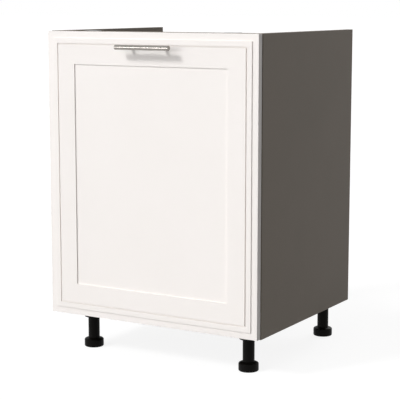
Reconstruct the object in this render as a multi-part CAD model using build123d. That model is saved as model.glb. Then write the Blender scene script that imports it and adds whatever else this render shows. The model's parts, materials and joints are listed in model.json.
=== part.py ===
from build123d import *
import os

os.makedirs("parts", exist_ok=True)

# Kitchen sink base: a board carcass on four adjustable legs, open above for the sink bowl and behind
# for the pipes. A low drawer with one full-height front pulls out of it on three-member ball runners.
# Millimetres. +X is the unit's right, -Y its front and +Z up. The origin is on the floor, under the
# middle of the whole unit, its handle included.

# Carcass
carcass_width = 600.0
carcass_height = 720.0
board = 16.0
rail_height = 100.0
rear_rail_drop = 60.0

# Front: raised face, lowered outer rim, fine groove, recessed centre
front_thickness = 19.0
front_side_reveal = 1.5
front_bottom_reveal = 2.0
front_top_reveal = 1.0
front_gap = 1.5
rim_width = 16.3
rim_drop = 2.4
groove_inset = 29.5
groove_width = 2.8
groove_depth = 3.2
frame_width = 80.7
centre_recess = 2.8
front_edge_radius = 0.5
bumper_radius = 5.0
bumper_gap = 0.3
bumper_inset = 20.0

# Handle
bar_radius = 6.0
bar_length = 152.0
bar_bevel = 0.5
post_radius = 4.0
post_spacing = 96.0
handle_standoff = 28.0
handle_drop = 35.5
post_thread_depth = 8.0

# Legs: a collar and stem in one moulding, and a foot that screws into the stem
leg_height = 100.0
leg_front_inset = 68.0
leg_side_inset = 70.0
rear_leg_side_inset = 62.0
spool_radius = 25.0
spool_shoulder_height = 20.0
spool_cone_height = 3.0
spool_shoulder_radius = 4.0
foot_edge_radius = 3.0
stem_radius = 14.7
stem_wall = 2.4
stem_roof = 12.0
foot_plug_length = 45.0
foot_plug_wall = 2.5
foot_plug_play = 0.3
foot_seat_gap = 0.3
leg_flange = 4.0
leg_screw_circle_radius = 19.6
leg_screw_pocket_radius = 4.1
leg_screws_per_leg = 4

# Runners: cabinet, middle and drawer member, nested, with balls in cages between them
runner_length = 450.0
runner_setback = 2.0
runner_back_room = 30.0
runner_depth = 12.7
runner_half_height = 22.85
runner_web = 1.2
runner_web_gap = 0.3
runner_flange = 2.0
middle_flange = 2.6
member_end_gap = 1.1
member_bend_radius = 1.0
ball_radius = 2.2
ball_bite = 0.8
ball_play = 0.1
cage_sheet = 0.6
cage_end_room = 12.5
balls_per_row = 5
runner_screw_shares = (0.08, 0.5, 0.92)

# Drawer box behind the front
drawer_height = 160.0
drawer_lift = 12.0
runner_height = 50.0
base_thickness = 8.0
base_lift = 12.0
base_tongue = 6.0
base_end_gap = 0.5
fixing_side_inset = 75.0
fixing_shares = (0.25, 0.75)

# Gallery rails that hold the tall front square to the drawer
gallery_height = 90.0
gallery_radius = 5.0
gallery_wall = 3.0
socket_depth = 14.0
socket_plate = 3.0
socket_plate_width = 16.0
socket_plate_height = 46.0
socket_screw_offset = 16.0
rear_post_width = 24.0
rear_post_foot = 50.0
rear_post_setback = 10.0
rear_post_screw_shares = (0.2, 0.8)

# Brackets that hold a worktop down
bracket_side_inset = 84.0
bracket_width = 36.0
bracket_leg = 32.0
bracket_sheet = 2.0
bracket_bend_radius = 1.5
bracket_hole_radius = 2.5
bracket_hole_offset = 19.0
bracket_screw_spacing = 18.0
bracket_screw_drop = 19.0

# Cam fittings and dowels in the board joints
joint_inset = 110.0
joint_pitch = 32.0
cam_radius = 7.5
cam_depth = 12.5
cam_distance = 24.0
cam_slot_width = 1.6
cam_slot_depth = 2.0
cam_slot_share = 0.7
bolt_thread_radius = 2.5
bolt_thread_length = 11.0
bolt_shank_radius = 3.5
bolt_neck_radius = 2.2
bolt_neck_length = 4.0
bolt_head_radius = 3.2
bolt_head_length = 2.4
dowel_radius = 4.0
dowel_length = 30.0
dowel_in_side = 10.0
dowel_end_gap = 0.5

# Screws
wood_screw_radius = 2.0
wood_screw_head_radius = 3.6
wood_screw_head_height = 2.0
wood_screw_bite = 11.0
handle_screw_radius = 2.0
handle_screw_head_radius = 4.0
handle_screw_head_height = 2.4
handle_screw_recess = 3.6
handle_screw_end_gap = 1.0
screw_tip_share = 1.5
screw_crown_share = 0.7

# Clearances that are shared
fit = 0.05
overrun = 1.0
pick_tolerance = 0.01

# Levels, planes and half widths that the pieces share
inner_x = carcass_width / 2 - board
carcass_depth = runner_setback + runner_length + runner_back_room + board
carcass_bottom = leg_height
carcass_top = leg_height + carcass_height
front_reach = handle_standoff + bar_radius
overall_depth = front_reach + front_thickness + front_gap + carcass_depth
front_face = front_reach - overall_depth / 2
front_back = front_face + front_thickness
carcass_front = front_back + front_gap
carcass_back = carcass_front + carcass_depth
front_half_width = carcass_width / 2 - front_side_reveal
front_bottom = carcass_bottom + front_bottom_reveal
front_top = carcass_top - front_top_reveal
runner_front = carcass_front + runner_setback
runner_back = runner_front + runner_length
drawer_x = inner_x - runner_depth
drawer_bottom = carcass_bottom + board + drawer_lift
drawer_top = drawer_bottom + drawer_height
runner_axis = drawer_bottom + runner_height
cage_length = runner_length / 2 - 2 * cage_end_room
gallery_axis = drawer_top + gallery_height
gallery_x = drawer_x - board - gallery_radius - gallery_wall
handle_axis = front_top - handle_drop
spool_height = spool_shoulder_height + spool_cone_height
leg_rear_y = carcass_back - spool_radius

# Heights above the runner's axis of what its members and balls share
outer_ball_rise = runner_half_height - runner_flange - ball_radius + ball_bite
middle_half_height = outer_ball_rise - ball_radius + ball_bite
inner_ball_rise = middle_half_height - middle_flange - ball_radius + ball_bite
drawer_half_height = inner_ball_rise - ball_radius + ball_bite

# Distances from the side panel's inner face of the runner's nested webs
outer_cage_start = runner_web + runner_web_gap
middle_start = outer_cage_start + cage_sheet + runner_web_gap
inner_cage_start = middle_start + runner_web + runner_web_gap
drawer_flange_start = inner_cage_start + cage_sheet + runner_web_gap
member_reach = runner_depth - runner_web - member_end_gap
ball_line = (drawer_flange_start + member_reach) / 2

SIDES = {"left": -1, "right": 1}
LEG_SPOTS = {
    f"{end}_{side}": (sign * (carcass_width / 2 - inset), y)
    for side, sign in SIDES.items()
    for end, inset, y in (
        ("front", leg_side_inset, carcass_front + leg_front_inset),
        ("rear", rear_leg_side_inset, leg_rear_y),
    )
}

solids = {}
cuts = {}


def add(node, shape):
    """Put one solid into a node. A node of identical fasteners holds several."""
    solids.setdefault(node, []).append(shape)


def cut(node, tool):
    """Keep a tool that is cut from the node's solid once all of its pieces are known."""
    cuts.setdefault(node, []).append(tool)


def block(x, y, z):
    """A rectangular solid from three (start, end) pairs, given in either order."""
    spans = [(min(pair), max(pair)) for pair in (x, y, z)]
    middle = [(low + high) / 2 for low, high in spans]
    return Pos(*middle) * Box(*[high - low for low, high in spans])


def placed(shape, start, axis):
    """A shape made along +Z, set down at start and turned to run along axis."""
    return Plane(origin=start, z_dir=axis).location * shape


def rod(radius, length, start, axis):
    """A round bar or bore of the given length that runs from start along axis."""
    align = (Align.CENTER, Align.CENTER, Align.MIN)
    return placed(Cylinder(radius, length, align=align), start, axis)


def turned(outline):
    """A solid of revolution about Z from (radius, height) points, some with a corner radius third."""
    points = [point[:2] for point in outline]
    corners = [point[2] if len(point) > 2 else 0 for point in outline]
    path = FilletPolyline(*points, radius=corners, close=True)
    return revolve(Plane.XZ * make_face(path.edges()), Axis.Z)


def screw_outline(radius, length, head_radius, head_height, flat):
    """Half section of a screw along +Z: a flat head tapers below zero height, a pan head stands up."""
    tip = length - radius * screw_tip_share
    if flat:
        head = [(0, 0), (head_radius, 0), (radius, head_height)]
    else:
        crown = head_radius * screw_crown_share
        head = [(0, -head_height), (crown, -head_height), (head_radius, 0), (radius, 0)]
    return head + [(radius, tip), (0, length)]


def drive(group, bite, start, axis, through, seat, head_height=wood_screw_head_height, flat=False):
    """Drive a wood screw: it passes seat of material, then bites, and cuts its hole in each node."""
    length = seat + bite
    screw = screw_outline(wood_screw_radius, length, wood_screw_head_radius, head_height, flat)
    add(group, placed(turned(screw), start, axis))
    hole_radius = wood_screw_radius + fit
    hole = screw_outline(hole_radius, length + overrun, wood_screw_head_radius + fit, head_height, flat)
    for node in through:
        cut(node, placed(turned(hole), start, axis))


def cam_fitting(node, side, y, z, mouth):
    """A cam in the end of a board and its bolt in the side panel; the cam's pocket opens to mouth."""
    sign = SIDES[side]
    start = Vector(sign * inner_x, y, z)
    inward = Vector(-sign, 0, 0)
    mouth = Vector(mouth)
    centre = start + inward * cam_distance
    face = centre + mouth * (board / 2)
    shank_end = bolt_thread_length + cam_distance + bolt_head_length / 2 - bolt_head_length - bolt_neck_length
    neck_end = shank_end + bolt_neck_length
    head_end = neck_end + bolt_head_length
    bolt = turned(
        [
            (0, 0),
            (bolt_thread_radius, 0),
            (bolt_thread_radius, bolt_thread_length),
            (bolt_shank_radius, bolt_thread_length),
            (bolt_shank_radius, shank_end),
            (bolt_neck_radius, shank_end),
            (bolt_neck_radius, neck_end),
            (bolt_head_radius, neck_end),
            (bolt_head_radius, head_end),
            (0, head_end),
        ]
    )
    add("cam_bolts", placed(bolt, start - inward * bolt_thread_length, inward))
    channel_start = centre - inward * (cam_radius + overrun)
    channel_length = cam_radius + overrun + bolt_head_length
    cam = rod(cam_radius, cam_depth, face, -mouth)
    cam -= rod(bolt_shank_radius + fit, channel_length, channel_start, inward)
    slot = Box(cam_radius * 2 * cam_slot_share, cam_slot_width, cam_slot_depth * 2)
    cam -= placed(slot, face, mouth)
    add("cams", cam)
    cut(node, rod(cam_radius + fit, cam_depth + fit + overrun, face + mouth * overrun, -mouth))
    cut(node, rod(bolt_shank_radius + fit, cam_distance + overrun, start - inward * overrun, inward))
    side_node = f"side_panel_{side}"
    cut(side_node, rod(bolt_thread_radius + fit, bolt_thread_length + fit + overrun, start + inward * overrun,
                       -inward))


def dowel(group, node, side_node, start, inward, length, in_side):
    """A dowel across a joint line, with a bore in the board and one in its side."""
    add(group, rod(dowel_radius, length, start - inward * in_side, inward))
    bore_radius = dowel_radius + fit
    cut(node, rod(bore_radius, length - in_side + dowel_end_gap, start, inward))
    cut(side_node, rod(bore_radius, in_side + dowel_end_gap, start, -inward))


def carcass_dowel(node, side, y, z):
    """A dowel between a carcass board's end and a side panel."""
    sign = SIDES[side]
    dowel("carcass_dowels", node, f"side_panel_{side}", Vector(sign * inner_x, y, z), Vector(-sign, 0, 0),
          dowel_length, dowel_in_side)


def build_carcass():
    """Two sides, a bottom and three rails on edge, joined by cams and dowels."""
    depth = (carcass_front, carcass_back)
    for side, sign in SIDES.items():
        add(f"side_panel_{side}", block((sign * inner_x, sign * carcass_width / 2), depth,
                                        (carcass_bottom, carcass_top)))
    span = (-inner_x, inner_x)
    bottom_top = carcass_bottom + board
    add("bottom_panel", block(span, depth, (carcass_bottom, bottom_top)))
    upper_top = carcass_top - rear_rail_drop
    rails = {
        "front_rail": (carcass_front, carcass_top - rail_height, 1),
        "rear_rail_upper": (carcass_back - board, upper_top - rail_height, -1),
        "rear_rail_lower": (carcass_back - board, bottom_top, -1),
    }
    for node, (start_y, low, inside) in rails.items():
        add(node, block(span, (start_y, start_y + board), (low, low + rail_height)))
        middle_y = start_y + board / 2
        middle_z = low + rail_height / 2
        for side in SIDES:
            cam_fitting(node, side, middle_y, middle_z + joint_pitch / 2, (0, inside, 0))
            carcass_dowel(node, side, middle_y, middle_z - joint_pitch / 2)
    middle_z = carcass_bottom + board / 2
    for side in SIDES:
        for y, inward in ((carcass_front + joint_inset, 1), (carcass_back - joint_inset, -1)):
            cam_fitting("bottom_panel", side, y, middle_z, (0, 0, -1))
            carcass_dowel("bottom_panel", side, y + inward * joint_pitch, middle_z)


def build_worktop_brackets():
    """Two steel angles behind the front rail, flush with its top, each with a hole for a worktop screw."""
    rail_back = carcass_front + board
    for side, sign in SIDES.items():
        node = f"worktop_bracket_{side}"
        x = sign * (inner_x - bracket_side_inset)
        width = (x - bracket_width / 2, x + bracket_width / 2)
        upright = block(width, (rail_back, rail_back + bracket_sheet), (carcass_top - bracket_leg, carcass_top))
        ledge = block(width, (rail_back, rail_back + bracket_leg), (carcass_top - bracket_sheet, carcass_top))
        angle = upright + ledge
        inside = (x, rail_back + bracket_sheet, carcass_top - bracket_sheet)
        angle = fillet(angle.edges().filter_by(Axis.X).sort_by_distance(inside)[0], bracket_bend_radius)
        outside = (x, rail_back, carcass_top)
        bend = angle.edges().filter_by(Axis.X).sort_by_distance(outside)[0]
        add(node, fillet(bend, bracket_bend_radius + bracket_sheet))
        hole_start = (x, rail_back + bracket_hole_offset, carcass_top + overrun)
        cut(node, rod(bracket_hole_radius, bracket_sheet + 2 * overrun, hole_start, (0, 0, -1)))
        for offset in (-bracket_screw_spacing / 2, bracket_screw_spacing / 2):
            start = (x + offset, rail_back + bracket_sheet, carcass_top - bracket_screw_drop)
            drive("worktop_bracket_screws", wood_screw_bite, start, (0, -1, 0), (node, "front_rail"),
                  bracket_sheet)


def build_front():
    """The full-height front, its profile cut from one board, and the bumpers on its back."""
    raised = front_face + rim_drop
    width = (-front_half_width, front_half_width)
    height = (front_bottom, front_top)

    def inset(pair, amount):
        """A (start, end) pair drawn in by the same amount at both ends."""
        return (pair[0] + amount, pair[1] - amount)

    slab = block(width, (raised, front_back), height)
    slab = fillet(slab.faces().sort_by(Axis.Y)[0].edges(), front_edge_radius)
    field = block(inset(width, rim_width), (front_face, front_back), inset(height, rim_width))
    field = fillet(field.faces().sort_by(Axis.Y)[0].edges(), front_edge_radius)
    groove_span = (front_face - overrun, front_face + groove_depth)
    groove = block(inset(width, groove_inset), groove_span, inset(height, groove_inset))
    island = groove_inset + groove_width
    groove -= block(inset(width, island), groove_span, inset(height, island))
    recess_span = (front_face - overrun, front_face + centre_recess)
    recess = block(inset(width, frame_width), recess_span, inset(height, frame_width))
    add("front_panel", slab + field - groove - recess)
    bumper_x = carcass_width / 2 - board / 2
    for sign in SIDES.values():
        for z in (front_bottom + bumper_inset, front_top - bumper_inset):
            start = (sign * bumper_x, front_back, z)
            add("front_bumpers", rod(bumper_radius, front_gap - bumper_gap, start, (0, 1, 0)))


def build_handle():
    """A straight bar on two posts, held by machine screws from behind the front."""
    bar_y = front_face - handle_standoff
    bar = rod(bar_radius, bar_length, (-bar_length / 2, bar_y, handle_axis), (1, 0, 0))
    add("handle_bar", chamfer(bar.edges(), bar_bevel))
    seat_y = front_back - handle_screw_recess
    panel_under_head = seat_y - front_face
    length = panel_under_head + post_thread_depth - handle_screw_end_gap
    outline = [
        (0, -handle_screw_head_height),
        (handle_screw_head_radius * screw_crown_share, -handle_screw_head_height),
        (handle_screw_head_radius, 0),
        (handle_screw_radius, 0),
        (handle_screw_radius, length),
        (0, length),
    ]
    for sign in SIDES.values():
        x = sign * post_spacing / 2
        foot = (x, front_face, handle_axis)
        post = rod(post_radius, handle_standoff, foot, (0, -1, 0))
        post -= rod(bar_radius, bar_length, (-bar_length / 2, bar_y, handle_axis), (1, 0, 0))
        post -= rod(handle_screw_radius + fit, post_thread_depth, foot, (0, -1, 0))
        add("handle_posts", post)
        add("handle_screws", placed(turned(outline), (x, seat_y, handle_axis), (0, -1, 0)))
        bore_start = (x, front_back + overrun, handle_axis)
        cut("front_panel", rod(handle_screw_radius + fit, front_thickness + 2 * overrun, bore_start, (0, -1, 0)))
        cut("front_panel", rod(handle_screw_head_radius + fit, handle_screw_recess + overrun, bore_start,
                               (0, -1, 0)))


def build_legs():
    """Four spool-shaped legs: collar and stem screwed under the bottom, and a foot that screws out."""
    bore_radius = stem_radius - stem_wall
    plug_radius = bore_radius - foot_plug_play
    plug_bore = plug_radius - foot_plug_wall
    plug_top = spool_height + foot_plug_length
    stem_end = leg_height - spool_height - foot_seat_gap
    body = turned(
        [
            (0, 0),
            (spool_radius, 0),
            (spool_radius, -spool_shoulder_height, spool_shoulder_radius),
            (stem_radius, -spool_height),
            (stem_radius, -stem_end),
            (bore_radius, -stem_end),
            (bore_radius, -stem_roof),
            (0, -stem_roof),
        ]
    )
    foot = turned(
        [
            (0, 0),
            (spool_radius, 0, foot_edge_radius),
            (spool_radius, spool_shoulder_height, spool_shoulder_radius),
            (stem_radius, spool_height),
            (plug_radius, spool_height),
            (plug_radius, plug_top),
            (plug_bore, plug_top),
            (plug_bore, spool_height),
            (0, spool_height),
        ]
    )
    for spot, (x, y) in LEG_SPOTS.items():
        node = f"leg_body_{spot}"
        add(node, Pos(x, y, carcass_bottom) * body)
        add(f"leg_foot_{spot}", Pos(x, y, 0) * foot)
        seat = Pos(x, y, carcass_bottom - leg_flange)
        for spot_on_flange in PolarLocations(leg_screw_circle_radius, leg_screws_per_leg, start_angle=45):
            start = (seat * spot_on_flange).position
            drive("leg_screws", wood_screw_bite, start, (0, 0, 1), (node, "bottom_panel"), leg_flange)
            cut(node, rod(leg_screw_pocket_radius, spool_height, start, (0, 0, -1)))


def runner_channel(sign, web, reach, half_height, flange):
    """One runner member: a channel with its web and flanges given as distances from the side panel."""
    x_of = lambda distance: sign * (inner_x - distance)
    length = (runner_front, runner_back)
    outside = x_of(web[0])
    channel = block((outside, x_of(reach)), length, (runner_axis - half_height, runner_axis + half_height))
    bends = channel.edges().filter_by(Axis.Y).filter_by_position(
        Axis.X, outside - pick_tolerance, outside + pick_tolerance)
    channel = fillet(bends, member_bend_radius)
    hollow = half_height - flange
    return channel - block((x_of(web[1]), x_of(reach)), length, (runner_axis - hollow, runner_axis + hollow))


def ball_groove(sign, rise):
    """A long round groove that a row of balls runs in."""
    start = (sign * (inner_x - ball_line), runner_front - overrun, runner_axis + rise)
    return rod(ball_radius + ball_play, runner_length + 2 * overrun, start, (0, 1, 0))


def build_cage(side, stage, start, rise):
    """A bent strip that keeps two rows of balls apart, and the balls."""
    sign = SIDES[side]
    middle_y = runner_front + runner_length / 2
    length = (middle_y - cage_length / 2, middle_y + cage_length / 2)
    outside = sign * (inner_x - start)
    web = (outside, sign * (inner_x - start - cage_sheet))
    half_height = rise + cage_sheet / 2
    cage = block(web, length, (runner_axis - half_height, runner_axis + half_height))
    strip = (outside, sign * (inner_x - member_reach))
    for level in (runner_axis - rise, runner_axis + rise):
        cage += block(strip, length, (level - cage_sheet / 2, level + cage_sheet / 2))
        for index in range(balls_per_row):
            y = length[0] + cage_length * (index + 0.5) / balls_per_row
            centre = (sign * (inner_x - ball_line), y, level)
            window = (centre[0], y, level - cage_sheet)
            cage -= rod(ball_radius + ball_play, 2 * cage_sheet, window, (0, 0, 1))
            add(f"balls_{stage}_{side}", Pos(*centre) * Sphere(ball_radius))
    add(f"ball_cage_{stage}_{side}", cage)


def build_runner(side):
    """A three-member runner between a side panel and the drawer's side."""
    sign = SIDES[side]
    cabinet = f"runner_cabinet_member_{side}"
    middle = f"runner_middle_member_{side}"
    drawer = f"runner_drawer_member_{side}"
    add(cabinet, runner_channel(sign, (0, runner_web), member_reach, runner_half_height, runner_flange))
    add(middle, runner_channel(sign, (middle_start, middle_start + runner_web), member_reach,
                               middle_half_height, middle_flange))
    add(drawer, runner_channel(sign, (runner_depth, runner_depth - runner_web), drawer_flange_start,
                               drawer_half_height, runner_flange))
    for rise in (-outer_ball_rise, outer_ball_rise):
        cut(cabinet, ball_groove(sign, rise))
        cut(middle, ball_groove(sign, rise))
    for rise in (-inner_ball_rise, inner_ball_rise):
        cut(middle, ball_groove(sign, rise))
        cut(drawer, ball_groove(sign, rise))
    build_cage(side, "outer", outer_cage_start, outer_ball_rise)
    build_cage(side, "inner", inner_cage_start, inner_ball_rise)
    for share in runner_screw_shares:
        y = runner_front + runner_length * share
        drive("runner_cabinet_screws", wood_screw_bite, (sign * (inner_x - runner_web), y, runner_axis),
              (sign, 0, 0), (cabinet, f"side_panel_{side}"), runner_web, runner_web, flat=True)
        drive("runner_drawer_screws", wood_screw_bite, (sign * (drawer_x + runner_web), y, runner_axis),
              (-sign, 0, 0), (drawer, f"drawer_side_{side}"), runner_web, runner_web, flat=True)


def build_drawer():
    """A box of boards with its base in grooves, screwed to the back of the front."""
    depth = (front_back, runner_back)
    height = (drawer_bottom, drawer_top)
    for side, sign in SIDES.items():
        add(f"drawer_side_{side}", block((sign * (drawer_x - board), sign * drawer_x), depth, height))
    inner = drawer_x - board
    ends = {"drawer_inner_front": front_back, "drawer_back": runner_back - board}
    for node, start_y in ends.items():
        add(node, block((-inner, inner), (start_y, start_y + board), height))
        for side, sign in SIDES.items():
            for share in fixing_shares:
                start = Vector(sign * inner, start_y + board / 2, drawer_bottom + drawer_height * share)
                dowel("drawer_dowels", node, f"drawer_side_{side}", start, Vector(-sign, 0, 0),
                      dowel_length, dowel_in_side)
    base_low = drawer_bottom + base_lift
    groove_x = inner + base_tongue + base_end_gap
    groove_y = (front_back + board - base_tongue - base_end_gap, runner_back - board + base_tongue + base_end_gap)
    add("drawer_base", block((-inner - base_tongue, inner + base_tongue),
                             (groove_y[0] + base_end_gap, groove_y[1] - base_end_gap),
                             (base_low, base_low + base_thickness)))
    groove = block((-groove_x, groove_x), groove_y, (base_low - fit, base_low + base_thickness + fit))
    for node in ("drawer_side_left", "drawer_side_right", "drawer_inner_front", "drawer_back"):
        cut(node, groove)
    fixing_x = inner - fixing_side_inset
    for x in (-fixing_x, fixing_x):
        for share in fixing_shares:
            start = (x, front_back + board, drawer_bottom + drawer_height * share)
            drive("front_fixing_screws", wood_screw_bite, start, (0, -1, 0),
                  ("drawer_inner_front", "front_panel"), board)


def build_gallery(side):
    """A round rail from a socket on the front's back to a post on the drawer's side."""
    sign = SIDES[side]
    x = sign * gallery_x
    cup_radius = gallery_radius + gallery_wall
    bore_radius = gallery_radius + fit
    rail_front = front_back + socket_plate
    post_back = runner_back - board - rear_post_setback
    post_front = post_back - rear_post_width
    rail_back = post_back - gallery_wall
    add(f"gallery_rail_{side}", rod(gallery_radius, rail_back - rail_front, (x, rail_front, gallery_axis),
                                    (0, 1, 0)))
    socket = block((x - socket_plate_width / 2, x + socket_plate_width / 2), (front_back, rail_front),
                   (gallery_axis - socket_plate_height / 2, gallery_axis + socket_plate_height / 2))
    socket += rod(cup_radius, socket_depth, (x, front_back, gallery_axis), (0, 1, 0))
    socket_node = f"gallery_front_socket_{side}"
    add(socket_node, socket - rod(bore_radius, socket_depth, (x, rail_front, gallery_axis), (0, 1, 0)))
    for offset in (-socket_screw_offset, socket_screw_offset):
        start = (x, rail_front, gallery_axis + offset)
        drive("gallery_screws", wood_screw_bite, start, (0, -1, 0), (socket_node, "front_panel"), socket_plate)
    panel_x = sign * (drawer_x - board)
    plate = (panel_x, panel_x - sign * gallery_wall)
    post_low = drawer_top - rear_post_foot
    post = block(plate, (post_front, post_back), (post_low, gallery_axis))
    post += rod(cup_radius, rear_post_width, (x, post_front, gallery_axis), (0, 1, 0))
    post_node = f"gallery_rear_post_{side}"
    bore_length = rear_post_width - gallery_wall + overrun
    add(post_node, post - rod(bore_radius, bore_length, (x, post_front - overrun, gallery_axis), (0, 1, 0)))
    for share in rear_post_screw_shares:
        start = (panel_x - sign * gallery_wall, (post_front + post_back) / 2, post_low + rear_post_foot * share)
        drive("gallery_screws", wood_screw_bite, start, (sign, 0, 0), (post_node, f"drawer_side_{side}"),
              gallery_wall)


def export_nodes():
    """Cut every node's holes and write it to its own file."""
    for node, shapes in solids.items():
        finished = shapes[0] if len(shapes) == 1 else Compound(children=shapes)
        if node in cuts:
            finished = finished.cut(*cuts[node])
        export_step(finished, f"parts/{node}.step")


build_carcass()
build_worktop_brackets()
build_front()
build_handle()
build_legs()
for runner_side in SIDES:
    build_runner(runner_side)
build_drawer()
for rail_side in SIDES:
    build_gallery(rail_side)
export_nodes()
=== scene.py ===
"""Looks of a kitchen sink base: an open board carcass on four legs, and a tall front that pulls out.

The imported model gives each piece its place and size. Each class below dresses one sub-assembly. It
either takes a model's solid, welds it and rounds its arrises, or works the piece out anew as a surface
with its thread, recess or saddle. Sizes in the classes are in millimetres, and meshes are in metres.
"""

import json
import logging
import math
from dataclasses import dataclass, field
from enum import Enum
from typing import Any, Callable, Iterable, Optional, Sequence

import bmesh
import bpy
import numpy as np
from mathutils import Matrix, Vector

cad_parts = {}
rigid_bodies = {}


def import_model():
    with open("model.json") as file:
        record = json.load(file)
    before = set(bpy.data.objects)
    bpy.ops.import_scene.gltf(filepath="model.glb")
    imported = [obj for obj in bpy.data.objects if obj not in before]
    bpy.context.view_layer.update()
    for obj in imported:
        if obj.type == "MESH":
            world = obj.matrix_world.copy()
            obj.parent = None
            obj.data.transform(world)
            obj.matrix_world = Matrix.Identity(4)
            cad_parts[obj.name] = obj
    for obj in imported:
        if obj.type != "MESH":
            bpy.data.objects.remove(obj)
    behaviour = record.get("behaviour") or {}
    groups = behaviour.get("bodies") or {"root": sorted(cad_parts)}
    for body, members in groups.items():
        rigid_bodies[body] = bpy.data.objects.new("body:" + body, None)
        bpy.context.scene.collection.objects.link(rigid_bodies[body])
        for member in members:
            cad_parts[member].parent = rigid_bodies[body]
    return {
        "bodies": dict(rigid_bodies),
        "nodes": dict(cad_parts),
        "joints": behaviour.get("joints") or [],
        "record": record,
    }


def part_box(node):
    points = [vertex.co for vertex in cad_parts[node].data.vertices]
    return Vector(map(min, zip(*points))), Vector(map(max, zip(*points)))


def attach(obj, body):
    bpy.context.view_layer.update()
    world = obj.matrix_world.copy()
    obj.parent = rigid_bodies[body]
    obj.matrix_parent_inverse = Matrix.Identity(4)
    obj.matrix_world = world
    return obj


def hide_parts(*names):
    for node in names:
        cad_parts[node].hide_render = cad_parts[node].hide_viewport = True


log = logging.getLogger("sink_base")

MM = 0.001
Axis = tuple[float, float, float]
UP = (0.0, 0.0, 1.0)
BACK = (0.0, 1.0, 0.0)
FORWARD = (0.0, -1.0, 0.0)
RIGHTWARD = (1.0, 0.0, 0.0)
WHITE = (1.0, 1.0, 1.0, 1.0)

# Points of the model that agree to this many metres are one point.
WELD = 1e-6
# Triangles that turn by less than this are one flat face.
FLAT_TURN = math.radians(0.5)
# Outward edges that turn by more than this are rounded.
ARRIS_TURN = math.radians(50)
# Edges that turn by more than this many degrees stay sharp: on plain pieces, on threads, on bars
# and dowels, on bumpers, and on balls.
CREASE = 35.0
THREAD_CREASE = 40.0
BAR_CREASE = 50.0
DROP_CREASE = 60.0
BALL_CREASE = 80.0
# Spans round a small turned piece, and across a rounded arris.
SMALL_STEPS = 48
ARRIS_STEPS = 2
# Points of a turned piece on its axis, this many metres apart, are one.
POLE_WELD = 1e-7
# A corner of an outline within this many radians of straight isn't rounded.
STRAIGHT = 1e-3
# Heights of an outline, this many millimetres apart, are one.
LEVEL = 1e-6
# How far, in millimetres, a board's face may lie off its box.
FACE_GAP = 0.05
# A direction with this much of an axis in it looks along that axis.
SQUARELY = 0.9


class Side(Enum):
    """The unit's two sides."""

    LEFT = "left"
    RIGHT = "right"


class Thickness(Enum):
    """The axis that a board is thin along."""

    X = 0
    Y = 1
    Z = 2


class ScrewHead(Enum):
    """How a screw's head sits: proud of its seat, or sunk level with it."""

    PAN = "pan"
    FLAT = "flat"


# Colour and nodes


def linear(code: str) -> tuple[float, float, float, float]:
    """Turn an sRGB hex code into a linear colour.

    Args:
        code: Six hex digits with a leading hash.

    Returns:
        Red, green, blue and an alpha of one.
    """
    parts = [int(code[i : i + 2], 16) / 255 for i in (1, 3, 5)]
    red, green, blue = (p / 12.92 if p <= 0.04045 else ((p + 0.055) / 1.055) ** 2.4 for p in parts)
    return red, green, blue, 1.0


def per_metre(size: float) -> float:
    """Return a texture's scale for a feature of this size in millimetres."""
    return 1.0 / (size * MM)


def add_node(
    tree: bpy.types.NodeTree,
    kind: str,
    settings: Optional[dict[str, Any]] = None,
    inputs: Optional[dict[Any, Any]] = None,
) -> bpy.types.Node:
    """Add one node, with its settings and its links.

    Args:
        tree: The node tree that it goes into.
        kind: The node's type.
        settings: Attributes of the node and their values.
        inputs: Sockets by name or number, each with a value or with the output that feeds it.

    Returns:
        The new node.
    """
    node = tree.nodes.new(kind)
    for name, value in (settings or {}).items():
        setattr(node, name, value)
    for name, value in (inputs or {}).items():
        socket = node.inputs[name]
        if isinstance(value, bpy.types.NodeSocket):
            tree.links.new(value, socket)
        else:
            socket.default_value = value
    return node


def cleared(owner: Any) -> bpy.types.NodeTree:
    """Return the emptied node tree of a material or world."""
    owner.use_nodes = True
    owner.node_tree.nodes.clear()
    return owner.node_tree


# Finishes


@dataclass(frozen=True)
class Ground:
    """A material being made: its tree, its surface shader, and object coordinates in metres."""

    tree: bpy.types.NodeTree
    shader: bpy.types.Node
    place: bpy.types.NodeSocket


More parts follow.
